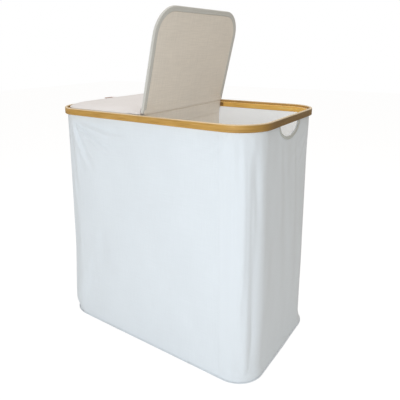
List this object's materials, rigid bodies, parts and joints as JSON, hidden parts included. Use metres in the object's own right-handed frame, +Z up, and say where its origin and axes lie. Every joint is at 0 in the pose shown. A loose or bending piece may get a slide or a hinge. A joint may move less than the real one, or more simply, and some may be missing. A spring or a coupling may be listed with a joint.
{
  "type": "laundry hamper",
  "caption": "Upright laundry hamper with a divider, a bent bamboo rim, a stiffened fabric body with hand holes in its ends, and a hinged lid over each bin.",
  "frame": {"origin": "middle of the flat bottom, on the surface that the hamper stands on", "axes": "+Z up, +X towards the bin whose lid stands open, -Y towards the front"},
  "size_m": [0.6074, 0.386, 0.86],
  "materials": {
    "bamboo": "bent bamboo with rounded edges, satin lacquer",
    "body_cloth": "plain woven polyester-cotton, matt, bluish white",
    "hem_cloth": "woven hem tape, grey in its own shade",
    "lining_cloth": "smooth coated lining, white",
    "divider_cloth": "plain woven cloth over a stiff panel, warm beige",
    "lid_cloth": "plain woven cloth, off-white",
    "lid_lining_cloth": "plain woven cloth, beige-grey",
    "hardboard": "pressed fibreboard",
    "pole": "glass-fibre rod",
    "socket": "moulded polypropylene",
    "steel": "zinc plated",
    "tab": "soft pale tab, bare"
  },
  "bodies": {
    "hamper_body": {"rim_outer_hoop_right": "bamboo", "rim_outer_hoop_left": "bamboo", "rim_inner_hoop_right": "bamboo", "rim_inner_hoop_left": "bamboo", "front_panel": "body_cloth", "back_panel": "body_cloth", "right_end_panel": "body_cloth", "left_end_panel": "body_cloth", "right_hand_hole_hem": "hem_cloth", "left_hand_hole_hem": "hem_cloth", "bottom_cloth": "body_cloth", "bottom_piping": "body_cloth", "right_base_board": "hardboard", "left_base_board": "hardboard", "right_bin_lining": "lining_cloth", "left_bin_lining": "lining_cloth", "divider": "divider_cloth", "centre_bar_sleeve": "divider_cloth", "centre_bar": "bamboo", "front_bracket": "steel", "front_bracket_screw_1": "steel", "front_bracket_screw_2": "steel", "back_bracket": "steel", "back_bracket_screw_1": "steel", "back_bracket_screw_2": "steel", "front_left_pole": "pole", "front_left_pole_sleeve": "body_cloth", "front_left_pole_socket": "socket", "front_right_pole": "pole", "front_right_pole_sleeve": "body_cloth", "front_right_pole_socket": "socket", "back_left_pole": "pole", "back_left_pole_sleeve": "body_cloth", "back_left_pole_socket": "socket", "back_right_pole": "pole", "back_right_pole_sleeve": "body_cloth", "back_right_pole_socket": "socket", "right_lid_hinge_cloth": "lid_cloth", "left_lid_hinge_cloth": "lid_cloth"},
    "right_lid": {"right_lid_cover": "lid_cloth", "right_lid_lining": "lid_lining_cloth", "right_lid_board": "hardboard", "right_lid_tab": "tab"},
    "left_lid": {"left_lid_cover": "lid_cloth", "left_lid_lining": "lid_lining_cloth", "left_lid_board": "hardboard", "left_lid_tab": "tab"}
  },
  "joints": [
    {"name": "right_lid_hinge", "type": "hinge", "parent": "hamper_body", "child": "right_lid", "pos_m": [0.0015, 0, 0.6168], "axis": [0, -1, 0], "range_deg": [-77, 13]},
    {"name": "left_lid_hinge", "type": "hinge", "parent": "hamper_body", "child": "left_lid", "pos_m": [-0.024, 0, 0.6168], "axis": [0, 1, 0], "range_deg": [0, 90]}
  ]
}
